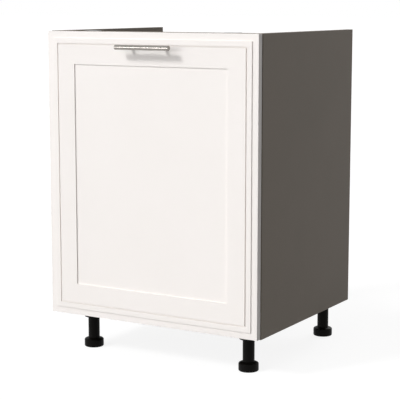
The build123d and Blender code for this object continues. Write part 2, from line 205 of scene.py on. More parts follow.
@dataclass(frozen=True)
class Finish:
    """A finish: its name, the record's slot that it belongs to, and how it meets light.

    A colour that varies runs from the colour to the shade. A sheen that varies runs from the
    roughness less `glossier` to the roughness and `duller`. The relief is in millimetres.
    """

    name: str
    slot: str
    colour: str
    roughness: float
    shade: str = "#808080"
    metallic: float = 0.0
    ior: float = 1.5
    specular: float = 0.5
    glossier: float = 0.0
    duller: float = 0.0
    relief: float = 0.01
    relief_share: float = 1.0
    clearness: float = 0.0

    def material(self) -> bpy.types.Material:
        """Return the finish's material, made when it is first asked for."""
        known = bpy.data.materials.get(self.name)
        if known is not None:
            return known
        made = bpy.data.materials.new(self.name)
        made.diffuse_color = linear(self.colour)
        made.roughness = self.roughness
        made.metallic = self.metallic
        tree = cleared(made)
        base = {
            "Base Color": linear(self.colour),
            "Roughness": self.roughness,
            "Metallic": self.metallic,
            "IOR": self.ior,
            "Specular IOR Level": self.specular,
            "Transmission Weight": self.clearness,
        }
        shader = add_node(tree, "ShaderNodeBsdfPrincipled", inputs=base)
        add_node(tree, "ShaderNodeOutputMaterial", inputs={"Surface": shader.outputs["BSDF"]})
        self.pattern(Ground(tree, shader, add_node(tree, "ShaderNodeTexCoord").outputs["Object"]))
        return made

    def pattern(self, ground: Ground) -> None:
        """Add what varies over the surface.

        Args:
            ground: The material being made.
        """
        raise NotImplementedError

    def drive(
        self,
        ground: Ground,
        height: bpy.types.NodeSocket,
        tone: Optional[bpy.types.NodeSocket] = None,
        sheen: Optional[bpy.types.NodeSocket] = None,
        dullest: float = 1.0,
    ) -> None:
        """Let values of 0 to 1 drive the height and, where they are given, the colour and the sheen.

        Args:
            ground: The material being made.
            height: What drives the height.
            tone: What drives the colour.
            sheen: What drives the roughness.
            dullest: The sheen's value where the roughness is greatest.
        """
        tree, inputs = ground.tree, ground.shader.inputs
        if tone is not None:
            tones = {0: tone, 6: linear(self.colour), 7: linear(self.shade)}
            tint = add_node(tree, "ShaderNodeMix", {"data_type": "RGBA"}, tones)
            tree.links.new(tint.outputs[2], inputs["Base Color"])
        if sheen is not None:
            span = {
                "Value": sheen,
                "From Max": dullest,
                "To Min": self.roughness - self.glossier,
                "To Max": self.roughness + self.duller,
            }
            spread = add_node(tree, "ShaderNodeMapRange", inputs=span)
            tree.links.new(spread.outputs["Result"], inputs["Roughness"])
        relief = {"Height": height, "Strength": self.relief_share, "Distance": self.relief * MM}
        bump = add_node(tree, "ShaderNodeBump", inputs=relief)
        tree.links.new(bump.outputs["Normal"], inputs["Normal"])


@dataclass(frozen=True)
class Grained(Finish):
    """A surface with a grain in its height. Its colour and sheen follow wide clouds, or the grain."""

    grain: float = 1.0
    detail: float = 3.0
    stretch: tuple[float, float, float] = (1.0, 1.0, 1.0)
    cloud: float = 0.0
    cloud_detail: float = 2.0

    def pattern(self, ground: Ground) -> None:
        """Stretch noise along the grain. A factor of a tenth makes it ten times as long that way.

        Args:
            ground: The material being made.
        """
        along = {"Vector": ground.place, "Scale": self.stretch}
        grain = {
            "Vector": add_node(ground.tree, "ShaderNodeMapping", inputs=along).outputs[0],
            "Scale": per_metre(self.grain),
            "Detail": self.detail,
        }
        height = add_node(ground.tree, "ShaderNodeTexNoise", inputs=grain).outputs["Fac"]
        tone = height
        if self.cloud > 0.0:
            cloud = {"Vector": ground.place, "Scale": per_metre(self.cloud), "Detail": self.cloud_detail}
            tone = add_node(ground.tree, "ShaderNodeTexNoise", inputs=cloud).outputs["Fac"]
        self.drive(ground, height, tone, tone if self.duller else None)


@dataclass(frozen=True)
class PittedBoard(Finish):
    """Chipboard faced with melamine paper, pressed against a finely pitted plate."""

    pit: float = 1.6
    smoothness: float = 0.6
    deepest: float = 0.7
    cloud: float = 240.0
    pit_share: float = 0.5
    darkest: float = 0.35

    def pattern(self, ground: Ground) -> None:
        """Press small pits into the face, with a paler bottom, and let the tone drift slowly.

        Args:
            ground: The material being made.
        """
        tree = ground.tree
        cells = {"Vector": ground.place, "Scale": per_metre(self.pit), "Smoothness": self.smoothness}
        pits = add_node(tree, "ShaderNodeTexVoronoi", {"feature": "SMOOTH_F1"}, cells)
        pit = pits.outputs["Distance"]
        clouds = {"Vector": ground.place, "Scale": per_metre(self.cloud)}
        cloud = add_node(tree, "ShaderNodeTexNoise", inputs=clouds).outputs["Fac"]
        terms = {0: pit, 1: self.pit_share, 2: cloud}
        blend = add_node(tree, "ShaderNodeMath", {"operation": "MULTIPLY_ADD"}, terms)
        span = {"Value": blend.outputs[0], "From Min": self.darkest}
        share = add_node(tree, "ShaderNodeMapRange", inputs=span)
        self.drive(ground, pit, share.outputs["Result"], pit, self.deepest)


@dataclass(frozen=True)
class RawBoard(Finish):
    """Chipboard as a drill or saw leaves it: pressed wood chips in glue."""

    chip: float = 2.5

    def pattern(self, ground: Ground) -> None:
        """Give each flake its own tone and height.

        Args:
            ground: The material being made.
        """
        cells = {"Vector": ground.place, "Scale": per_metre(self.chip)}
        flakes = add_node(ground.tree, "ShaderNodeTexVoronoi", inputs=cells).outputs["Color"]
        flake = add_node(ground.tree, "ShaderNodeSeparateColor", inputs={"Color": flakes})
        self.drive(ground, flake.outputs[1], flake.outputs[0])


# Fibreboard, milled, primed and sprayed with satin lacquer: an even warm white with soft edges and a
# faint orange peel in its sheen, drawn coarser than real.
LACQUER = Grained(
    name="satin_lacquered_fibreboard",
    slot="front_lacquer",
    colour="#F8F3F0",
    shade="#F5F0EC",
    roughness=0.42,
    specular=0.35,
    glossier=0.04,
    duller=0.04,
    grain=3.0,
    detail=1.0,
    cloud=160.0,
    relief=0.012,
)
# Melamine-faced chipboard: a flat grey with a dry, broken sheen. The pits are about 0.4 mm wide and
# are drawn at 1.6 mm, because finer ones don't show at the photograph's size.
MELAMINE = PittedBoard(
    name="pearl_embossed_melamine_board",
    slot="carcass_board",
    colour="#857B70",
    shade="#7E756A",
    roughness=0.5,
    specular=0.25,
    glossier=0.06,
    duller=0.08,
    relief=0.03,
)
# ABS edge band, extruded, glued on and scraped flush: a smoother line than the board's face, with
# scraper marks along it.
EDGE_BAND = Grained(
    name="extruded_abs_edge_band",
    slot="carcass_board",
    colour="#887E73",
    shade="#80776C",
    roughness=0.45,
    specular=0.12,
    grain=1.2,
    detail=2.0,
    stretch=(1.0, 1.0, 0.05),
)
# Chipboard, drilled or sawn: a dull tan with flakes of mixed tone, seen only in bores and grooves.
RAW_BOARD = RawBoard(
    name="drilled_chipboard",
    slot="carcass_board",
    colour="#B8976A",
    shade="#8A6A45",
    roughness=0.9,
    relief=0.15,
    relief_share=0.6,
)
# Stainless steel, belt ground along the bar: a grey metal with one long bright streak, broken by fine
# lines. The lines are about 0.1 mm wide and are drawn at 0.7 mm.
BRUSHED_STEEL = Grained(
    name="belt_ground_stainless_steel",
    slot="handle_steel",
    colour="#A19D98",
    shade="#8C8883",
    roughness=0.15,
    metallic=1.0,
    glossier=0.015,
    duller=0.015,
    grain=0.7,
    stretch=(0.004, 1.0, 1.0),
    relief=0.0004,
)
# Cold-rolled steel with a clear passivated zinc plate: a cool silver with a soft cloudy sheen and a
# few rolling lines.
ZINC_PLATE = Grained(
    name="zinc_plated_steel",
    slot="zinc_steel",
    colour="#C4C6C8",
    shade="#A9ACB0",
    roughness=0.33,
    metallic=1.0,
    glossier=0.08,
    duller=0.1,
    detail=2.0,
    stretch=(1.0, 0.03, 1.0),
    cloud=14.0,
    cloud_detail=4.0,
    relief=0.008,
)
# Beech, turned and fluted for dowels: a pale pinkish wood with short dark flecks along its grain.
BEECH = Grained(
    name="turned_beech",
    slot="beech",
    colour="#D9B48A",
    shade="#B98D62",
    roughness=0.6,
    grain=1.2,
    stretch=(0.1, 1.0, 1.0),
    relief=0.05,
)
# Cast polyurethane with a sticky back: a clear, faintly milky drop with tiny bubbles under its skin.
CLEAR_RUBBER = Grained(
    name="cast_clear_polyurethane",
    slot="clear_rubber",
    colour="#F1F1EC",
    shade="#F1F1EC",
    roughness=0.18,
    ior=1.48,
    clearness=0.85,
    grain=1.5,
    detail=2.0,
    relief=0.02,
)
# Chrome steel, lapped: near mirror bright, so each ball shows as a dark and a light spot.
BALL_STEEL = Grained(
    name="lapped_chrome_steel",
    slot="ball_steel",
    colour="#C9CACC",
    shade="#BDBEC1",
    roughness=0.1,
    metallic=1.0,
    glossier=0.03,
    duller=0.03,
    grain=0.8,
    relief=0.001,
)
# Zinc alloy, die cast and tumbled: a dull grey with a soft, slightly pitted sheen.
CAST_ZINC = Grained(
    name="die_cast_zinc",
    slot="cast_zinc",
    colour="#A7A9AB",
    shade="#8D8F92",
    roughness=0.42,
    metallic=1.0,
    glossier=0.08,
    duller=0.08,
    grain=0.9,
    relief=0.03,
)
# Steel, cold headed and zinc plated: brighter than the castings, with a fine even grain.
BOLT_STEEL = Grained(
    name="cold_headed_plated_steel",
    slot="bolt_steel",
    colour="#BFBDB6",
    shade="#A5A39B",
    roughness=0.3,
    metallic=1.0,
    glossier=0.06,
    duller=0.06,
    grain=0.7,
    relief=0.008,
)
# Steel tube with baked polyester powder: plain grey, its peel about 0.5 mm and drawn at 1.2 mm.
POWDER_COAT = Grained(
    name="baked_powder_coat",
    slot="gallery_steel",
    colour="#8B8884",
    shade="#827F7B",
    roughness=0.45,
    glossier=0.05,
    duller=0.05,
    grain=1.2,
    relief=0.03,
)
# Polypropylene from a spark-eroded mould: black, with a low grey sheen on its rounded edges.
BLACK_PLASTIC = Grained(
    name="moulded_black_polypropylene",
    slot="black_plastic",
    colour="#070605",
    shade="#0C0B09",
    roughness=0.45,
    specular=0.07,
    glossier=0.06,
    duller=0.06,
    grain=1.1,
    relief=0.03,
)


# Surfaces worked out as arrays


@dataclass
class Shell:
    """A mesh in plain arrays: its points in millimetres and its quads."""

    points: np.ndarray
    quads: np.ndarray

    def turned(self, start: Sequence[float], axis: Sequence[float]) -> "Shell":
        """Turn the shell's +Z to an axis and move its origin to a point.

        The two other axes are any pair at right angles to it that keeps the shell's handedness.

        Args:
            start: Where the origin goes, in millimetres.
            axis: The direction that +Z takes.

        Returns:
            A new shell.
        """
        up = np.asarray(axis, float) / np.linalg.norm(axis)
        guide = np.array([0.0, 0.0, 1.0]) if abs(up[2]) < SQUARELY else np.array([1.0, 0.0, 0.0])
        across = np.cross(guide, up)
        across /= np.linalg.norm(across)
        frame = np.stack([across, np.cross(up, across), up])
        return Shell(self.points @ frame + np.asarray(start, float), self.quads)

    def drawn_in(self, share: np.ndarray) -> "Shell":
        """Return the shell with each point's distance from Z multiplied by a share.

        Args:
            share: One number for each point.

        Returns:
            A new shell.
        """
        x, y, z = self.points.T
        return Shell(np.stack([x * share, y * share, z], axis=-1), self.quads)


def merged(shells: Iterable[Shell]) -> Shell:
    """Put several shells into one, by adding to each one's indices the count of the points before it.

    Args:
        shells: The shells.

    Returns:
        One shell.
    """
    parts = list(shells)
    starts = np.cumsum([0] + [len(part.points) for part in parts[:-1]])
    points = np.concatenate([part.points for part in parts])
    quads = np.concatenate([part.quads + start for part, start in zip(parts, starts)])
    return Shell(points, quads)


def rounded(corners: Sequence[Sequence[float]], steps: int = 6) -> np.ndarray:
    """Round the corners of an open outline.

    A corner with radius r is replaced by an arc. It starts and ends at r times the tangent of half the
    turn from the corner, and its points are the centre plus r times a unit vector that swings evenly
    from the one normal to the other.

    Args:
        corners: (radius, height) pairs, some with a corner radius third.
        steps: How many spans each arc has.

    Returns:
        The outline's points, one row each.
    """
    flat = np.array([corner[:2] for corner in corners], float)
    rows: list[np.ndarray] = [flat[:1]]
    for index in range(1, len(corners) - 1):
        radius = corners[index][2] if len(corners[index]) > 2 else 0.0
        here = flat[index]
        before = (flat[index - 1] - here) / np.linalg.norm(flat[index - 1] - here)
        after = (flat[index + 1] - here) / np.linalg.norm(flat[index + 1] - here)
        opening = math.acos(float(np.clip(before @ after, -1.0, 1.0)))
        if radius <= 0.0 or opening > math.pi - STRAIGHT:
            rows.append(here[None])
            continue
        centre = here + (before + after) / np.linalg.norm(before + after) * radius / math.sin(opening / 2)
        run = radius / math.tan(opening / 2)
        first = (here + before * run - centre) / radius
        last = (here + after * run - centre) / radius
        swing = math.acos(float(np.clip(first @ last, -1.0, 1.0)))
        part = np.linspace(0.0, 1.0, steps + 1)[:, None]
        arc = (np.sin((1 - part) * swing) * first + np.sin(part * swing) * last) / math.sin(swing)
        rows.append(centre + radius * arc)
    rows.append(flat[-1:])
    return np.concatenate(rows)


def mirrored(near: Sequence[Sequence[float]], length: float) -> list[tuple[float, ...]]:
    """Return an outline's near half and its mirror image at the far end.

    Args:
        near: (radius, height) pairs, some with a corner radius third.
        length: The height of the far end.

    Returns:
        The corners of both halves, in their order.
    """
    return [*near, *((corner[0], length - corner[1], *corner[2:]) for corner in reversed(near))]


def sampled(outline: np.ndarray, low: float, high: float, spacing: float) -> np.ndarray:
    """Add points to an outline's straight run between two heights, evenly, for a thread to be cut in.

    Args:
        outline: (radius, height) rows with one span from low to high.
        low: The height where the run starts.
        high: The height where it ends.
        spacing: The greatest distance between two new points.

    Returns:
        The outline with the run's points in their order.
    """
    for index in range(len(outline) - 1):
        ends = outline[index : index + 2, 1]
        if min(ends) <= low + LEVEL and max(ends) >= high - LEVEL:
            count = max(2, math.ceil((high - low) / spacing))
            heights = np.linspace(low, high, count + 1)
            if ends[1] < ends[0]:
                heights = heights[::-1]
            radii = np.interp(heights, np.sort(ends), outline[index : index + 2, 0][np.argsort(ends)])
            run = np.column_stack([radii, heights])
            return np.concatenate([outline[: index + 1], run, outline[index + 1 :]])
    return outline


def lattice(rows: int, columns: int) -> np.ndarray:
    """Work out the quads of a grid whose columns close on themselves, by index arithmetic.

    Args:
        rows: How many rows of points it has.
        columns: How many columns.

    Returns:
        Four point numbers for each quad.
    """
    first = np.arange(rows - 1)[:, None] * columns
    left = np.arange(columns)[None, :]
    right = (left + 1) % columns
    corners = [first + left, first + right, first + columns + right, first + columns + left]
    return np.stack(corners, axis=-1).reshape(-1, 4)


@dataclass(frozen=True)
class Thread:
    """A screw thread on a turned piece, between two heights."""

    low: float
    high: float
    pitch: float
    depth: float

    def sink(self, height: np.ndarray, angle: np.ndarray) -> np.ndarray:
        """Return how far the surface lies under the crest.

        The phase is the height over the pitch less the angle's share of a turn. The depth follows a
        cosine of it, and fades to nothing over half a pitch at both ends.

        Args:
            height: Heights of the points.
            angle: Angles of the points, in radians.

        Returns:
            Depths, in the same unit as the heights.
        """
        phase = height / self.pitch - angle / (2 * math.pi)
        wave = 0.5 - 0.5 * np.cos(2 * math.pi * phase)
        inside = np.minimum(height - self.low, self.high - height) / (0.5 * self.pitch)
        return self.depth * wave * np.clip(inside, 0.0, 1.0)


def revolved(outline: np.ndarray, steps: int, thread: Optional[Thread] = None) -> Shell:
    """Turn an outline round Z.

    A point is (r cos a, r sin a, h), with r the outline's radius less the thread's depth there, h its
    height and a the angle. An outline that starts and ends on the axis gives a closed shell.

    Args:
        outline: (radius, height) rows.
        steps: How many spans go round.
        thread: A thread to cut, if there is one.

    Returns:
        The shell.
    """
    angle = np.linspace(0.0, 2 * math.pi, steps, endpoint=False)[None, :]
    radius = outline[:, :1]
    height = np.broadcast_to(outline[:, 1:], (len(outline), steps))
    if thread is not None:
        inside = (height > thread.low) & (height < thread.high)
        radius = radius - np.where(inside, thread.sink(height, angle), 0.0)
    grid = np.stack([radius * np.cos(angle), radius * np.sin(angle), height], axis=-1)
    return Shell(grid.reshape(-1, 3), lattice(len(outline), steps))


@dataclass(frozen=True)
class CrossRecess:
    """The cross-shaped recess in a screw's head or a cam.

    The ramp of its walls is a share of its width, and its floor rises outward by a share of its depth.
    """

    reach: float
    width: float
    depth: float
    ramp: float = 0.35
    rise: float = 0.35

    def sink(self, x: np.ndarray, y: np.ndarray) -> np.ndarray:
        """Return the recess's depth at points of the head.

        Each arm's wall is a ramp of the distance that a point lies inside it, and the end of the arm
        is a ramp of the reach less the radius. The two arms join by their greater value, and the
        floor falls towards the middle.

        Args:
            x: First coordinates of the points.
            y: Second coordinates.

        Returns:
            Depths at those points.
        """
        radius = np.hypot(x, y)
        ramp = self.width * self.ramp
        arms = np.maximum(self.width / 2 - np.abs(x), self.width / 2 - np.abs(y))
        wall = np.clip(arms / ramp + 0.5, 0.0, 1.0)
        end = np.clip((self.reach - radius) / ramp, 0.0, 1.0)
        return self.depth * wall * end * (1.0 - self.rise * radius / self.reach)


def driven(shell: Shell, recess: CrossRecess, top: float, tolerance: float) -> Shell:
    """Press a cross recess into the end of a shell that looks along -Z.

    Points within a tolerance of the end plane, or of a dome behind it, move up by the recess's depth.

    Args:
        shell: The turned shell.
        recess: The recess.
        top: The height of the head's end.
        tolerance: How deep the dome is.

    Returns:
        The shell with its recess.
    """
    points = shell.points.copy()
    head = points[:, 2] < top + tolerance
    inside = np.hypot(points[:, 0], points[:, 1]) < recess.reach
    sink = recess.sink(points[:, 0], points[:, 1])
    points[:, 2] += np.where(head & inside, sink, 0.0)
    return Shell(points, shell.quads)


# Making objects


def placed(name: str, data: bpy.types.ID) -> bpy.types.Object:
    """Make an object and put it into the scene.

    Args:
        name: Its name.
        data: The mesh, lamp or camera that it shows.

    Returns:
        The object.
    """
    made = bpy.data.objects.new(name, data)
    bpy.context.scene.collection.objects.link(made)
    return made


def read_rows(items: Any, name: str, width: int = 3) -> np.ndarray:
    """Read one attribute of all points, loops or faces of a mesh.

    Args:
        items: The points, loops or faces.
        name: The attribute.
        width: How many numbers it has: three, or one that is whole.

    Returns:
        One row for each item.
    """
    values = np.empty(len(items) * width, np.int32 if width == 1 else np.float32)
    items.foreach_get(name, values)
    return values.reshape(-1, width)


@dataclass(frozen=True)
class Box:
    """The box of a solid, from its lowest to its highest corner, in millimetres."""

    low: np.ndarray
    high: np.ndarray

    @property
    def middle(self) -> np.ndarray:
        """Return the box's middle."""
        return (self.low + self.high) / 2

    def reach(self, axis: Axis) -> float:
        """Return the box's length along a main axis."""
        return float(np.abs(np.array(axis) @ (self.high - self.low)))

    def entry(self, axis: Axis) -> np.ndarray:
        """Return the middle of the face where a main axis enters the box."""
        return self.middle - np.array(axis) * self.reach(axis) / 2


Aim = Callable[[Box], Axis]


def outward(box: Box) -> Axis:
    """Return the way along X from the unit's middle to a solid."""
    return math.copysign(1.0, box.middle[0]), 0.0, 0.0


def inward(box: Box) -> Axis:
    """Return the way along X from a solid to the unit's middle."""
    return -outward(box)[0], 0.0, 0.0


@dataclass
class Workshop:
    """The loaded frame, and what turns arrays and CAD solids into pieces that ride on it."""

    frame: dict[str, Any]
    body_of: dict[str, str] = field(default_factory=dict)

    def __post_init__(self) -> None:
        """Note which body carries each node."""
        for body, members in self.frame["record"]["behaviour"]["bodies"].items():
            self.body_of.update(dict.fromkeys(members, body))

    def box(self, node: str) -> Box:
        """Return a node's box."""
        low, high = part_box(node)
        return Box(np.array(low) / MM, np.array(high) / MM)

    def welded(self, node: str) -> tuple[np.ndarray, np.ndarray]:
        """Read a CAD node as welded triangles.

        Points that agree to a thousandth of a millimetre become one.

        Args:
            node: The CAD node.

        Returns:
            Points in metres, and triangles.
        """
        mesh = self.frame["nodes"][node].data
        points = read_rows(mesh.vertices, "co")
        steps = np.round(points / WELD).astype(np.int64)
        _, kept, index = np.unique(steps, axis=0, return_index=True, return_inverse=True)
        triangles = index.reshape(-1)[read_rows(mesh.loops, "vertex_index", 1)].reshape(-1, 3)
        first, second, third = triangles.T
        sound = (first != second) & (second != third) & (third != first)
        return points[kept].astype(float), triangles[sound]

    def islands(self, node: str) -> list[Box]:
        """Find the separate solids of a node.

        Each point starts with its own number, and takes the lowest number of its triangles until none
        changes, so the points of one solid end with one number.

        Args:
            node: The CAD node.

        Returns:
            Each solid's box.
        """
        points, triangles = self.welded(node)
        label = np.arange(len(points))
        while True:
            least = label[triangles].min(axis=1)
            spread = label.copy()
            np.minimum.at(spread, triangles, least[:, None])
            spread = spread[spread]
            if np.array_equal(spread, label):
                break
            label = spread
        groups = [points[label == number] / MM for number in np.unique(label)]
        return [Box(group.min(axis=0), group.max(axis=0)) for group in groups]

    def settle(self, piece: bpy.types.Object, nodes: Sequence[str]) -> None:
        """Let a piece ride on its nodes' body and stand for them.

        Args:
            piece: The new object.
            nodes: The CAD nodes that it replaces.
        """
        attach(piece, self.body_of[nodes[0]])
        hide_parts(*nodes)
        log.info("%s: %d faces, for %s", piece.name, len(piece.data.polygons), ", ".join(nodes))

    def piece(self, node: str, shell: Shell, finish: Finish, crease: float) -> None:
        """Make a shell of quads into the piece that stands for a node.

        Args:
            node: The CAD node, which also gives the piece's name.
            shell: The surface, in millimetres.
            finish: Its finish.
            crease: Edges that turn by more than this many degrees stay sharp.
        """
        mesh = bpy.data.meshes.new(f"{node}_finished")
        mesh.from_pydata((shell.points * MM).tolist(), [], shell.quads.tolist())
        tool = bmesh.new()
        tool.from_mesh(mesh)
        bmesh.ops.remove_doubles(tool, verts=tool.verts, dist=POLE_WELD)
        bmesh.ops.recalc_face_normals(tool, faces=tool.faces)
        tool.to_mesh(mesh)
        tool.free()
        mesh.materials.append(finish.material())
        mesh.shade_smooth()
        mesh.set_sharp_from_angle(angle=math.radians(crease))
        self.settle(placed(mesh.name, mesh), [node])

    def copies(self, node: str, shell: Shell, aim: Aim, finish: Finish, crease: float) -> None:
        """Set one turned shell where each solid of a node is, as the piece that stands for the node.

        Args:
            node: The CAD node.
            shell: The surface along +Z, in millimetres.
            aim: Gives the direction that +Z takes for a solid's box. The shell starts where it enters.
            finish: Its finish.
            crease: Edges that turn by more than this many degrees stay sharp.
        """
        turned = merged(shell.turned(box.entry(aim(box)), aim(box)) for box in self.islands(node))
        self.piece(node, turned, finish, crease)

    def softened(
        self,
        node: str,
        finish: Finish,
        arris: float,
        least_edge: float = 6.0,
        thickness: Optional[Thickness] = None,
    ) -> None:
        """Make a CAD solid into a piece with rounded outer arrises.

        The solid is welded and its flat triangles are joined. A bevel rounds each outward edge that
        turns far enough and is longer than a bore's short spans.

        Args:
            node: The CAD node.
            finish: Its finish.
            arris: The radius of its arrises.
            least_edge: Edges shorter than this stay as they are.
            thickness: For a board, the axis that it is thin along: its edges are then banded and its
                bores and grooves are raw.
        """
        points, triangles = self.welded(node)
        mesh = bpy.data.meshes.new(f"{node}_finished")
        mesh.from_pydata(points.tolist(), [], triangles.tolist())
        tool = bmesh.new()
        tool.from_mesh(mesh)
        bmesh.ops.dissolve_limit(tool, angle_limit=FLAT_TURN, verts=tool.verts, edges=tool.edges)
        turn = np.array([edge.calc_face_angle_signed(0.0) for edge in tool.edges])
        long = np.array([edge.calc_length() for edge in tool.edges]) > least_edge * MM
        tool.to_mesh(mesh)
        tool.free()
        rounded_edge = (turn > ARRIS_TURN) & long
        weight = mesh.attributes.new("bevel_weight_edge", "FLOAT", "EDGE")
        weight.data.foreach_set("value", rounded_edge.astype(np.float32))
        mesh.shade_smooth()
        sharp = (np.abs(turn) > math.radians(CREASE)) & ~rounded_edge
        mesh.attributes.new("sharp_edge", "BOOLEAN", "EDGE").data.foreach_set("value", sharp)
        mesh.materials.append(finish.material())
        if thickness is not None:
            self.band(mesh, thickness)
        made = placed(mesh.name, mesh)
        bevel = made.modifiers.new("arris", "BEVEL")
        bevel.limit_method = "WEIGHT"
        bevel.width = arris * MM
        bevel.segments = ARRIS_STEPS
        bevel.loop_slide = False
        bevel.harden_normals = True
        self.settle(made, [node])

    def band(self, mesh: bpy.types.Mesh, thickness: Thickness) -> None:
        """Give a board's edges their band, and its bores and grooves raw chipboard.

        A face lies on the board's box if its centre is near one of the box's planes and it looks that
        plane's way.

        Args:
            mesh: The board's mesh.
            thickness: The axis that the board is thin along.
        """
        normal, centre = read_rows(mesh.polygons, "normal"), read_rows(mesh.polygons, "center")
        points = read_rows(mesh.vertices, "co")
        low, high = points.min(axis=0), points.max(axis=0)
        near = np.minimum(np.abs(centre - low), np.abs(centre - high)) < FACE_GAP * MM
        outer = near & (np.abs(normal) > SQUARELY)
        number = np.full(len(normal), 2, np.int32)
        number[outer.any(axis=1)] = 1
        number[outer[:, thickness.value]] = 0
        mesh.materials.append(EDGE_BAND.material())
        mesh.materials.append(RAW_BOARD.material())
        mesh.polygons.foreach_set("material_index", number)


# Screws


@dataclass
class Screws:
    """A group of like screws, set where the group's solids are.

    The recess's reach and width are shares of the head's radius, and its depth is one of its height.
    """

    node: str
    head: ScrewHead = ScrewHead.PAN
    aim: Aim = lambda box: FORWARD
    radius: float = 2.0
    head_radius: float = 3.6
    head_height: float = 2.0
    pitch: float = 1.6
    thread_depth: float = 0.45
    tip: float = 3.0
    recess: tuple[float, float, float] = (0.58, 0.3, 0.6)
    steps: int = SMALL_STEPS
    finish: Finish = BOLT_STEEL

    def outline(self, length: float) -> np.ndarray:
        """Return half the screw's section along +Z, from the middle of its head to its point.

        Args:
            length: From the seat under a pan head, or the top of a flat one, to the point.

        Returns:
            (radius, height) rows.
        """
        wide, high, core = self.head_radius, self.head_height, self.radius
        if self.head is ScrewHead.PAN:
            dome = [(wide * 0.55, -high, wide * 0.5), (wide, -high * 0.35, 0.5), (wide, 0.0, 0.1)]
            crown = [(0.0, -high), *dome]
        else:
            crown = [(0.0, 0.0), (wide, 0.0, 0.15), (wide, 0.2, 0.05)]
        tip = max(length - self.tip, length * 0.5)
        half = rounded([*crown, (core, self.seat, 0.2), (core, tip, 0.4), (0.0, length)], 4)
        rings = np.linspace(0.12, 0.98, 12)[:, None] * np.array([[wide * 0.5, 0.0]])
        half = np.concatenate([half[:1], half[:1] + rings, half[1:]])
        return sampled(half, self.seat + 0.4, tip - 0.5, self.pitch / 6)

    @property
    def seat(self) -> float:
        """Return the height where the shank leaves the head."""
        return 0.0 if self.head is ScrewHead.PAN else self.head_height

    def build(self, shop: Workshop) -> None:
        """Make the group. Each screw is worked out to its solid's length.

        Args:
            shop: The workshop.
        """
        shells = [self.shell(box, self.aim(box)) for box in shop.islands(self.node)]
        shop.piece(self.node, merged(shells), self.finish, THREAD_CREASE)

    def shell(self, box: Box, axis: Axis) -> Shell:
        """Work out one screw in its solid's box.

        Args:
            box: The solid's box.
            axis: The direction from head to point.

        Returns:
            The screw in place.
        """
        proud = self.head_height if self.head is ScrewHead.PAN else 0.0
        length = box.reach(axis) - proud
        thread = Thread(self.seat + 1.0, length - self.tip * 0.6, self.pitch, self.thread_depth)
        made = revolved(self.outline(length), self.steps, thread)
        reach, width, depth = self.recess
        wide, high = self.head_radius, self.head_height
        recess = CrossRecess(wide * reach, wide * width, high * depth)
        cut = driven(made, recess, -proud, high / 2)
        return cut.turned(box.entry(axis) + np.array(axis) * proud, axis)


@dataclass
class Dowels:
    """A group of fluted dowels that lie along X."""

    node: str
    radius: float = 4.0
    flutes: int = 18
    groove: float = 0.1

    def build(self, shop: Workshop) -> None:
        """Make the group.

        A dowel's radius is its outline's, less the groove's depth times one less the cosine of the
        angle times the count of flutes. Its ends are bevelled for the bore.

        Args:
            shop: The workshop.
        """
        shells = []
        end = [(0.0, 0.0), (self.radius - 1.1, 0.0, 0.3), (self.radius, 1.6, 0.5)]
        for box in shop.islands(self.node):
            outline = rounded(mirrored(end, box.reach(RIGHTWARD)), 3)
            plain = revolved(outline, self.flutes * 6)
            x, y, _ = plain.points.T
            wave = 1.0 - np.cos(self.flutes * np.arctan2(y, x))
            share = 1.0 - self.groove / self.radius * wave * (np.hypot(x, y) > self.radius * 0.5)
            shells.append(plain.drawn_in(share).turned(box.entry(RIGHTWARD), RIGHTWARD))
        shop.piece(self.node, merged(shells), BEECH, BAR_CREASE)


# Sub-assemblies


@dataclass
class Assembly:
    """A sub-assembly, whose pieces are made and dressed in the workshop."""

    shop: Workshop

    def build(self) -> None:
        """Make and dress the pieces."""
        raise NotImplementedError


@dataclass
class BoardBox(Assembly):
    """Boards of faced chipboard, joined with fluted dowels."""

    dowels: str = ""
    boards: tuple[tuple[str, Thickness], ...] = ()
    arris: float = 0.7

    def build(self) -> None:
        """Round and band the boards, and flute the dowels."""
        for node, thickness in self.boards:
            self.shop.softened(node, MELAMINE, self.arris, thickness=thickness)
        Dowels(self.dowels).build(self.shop)


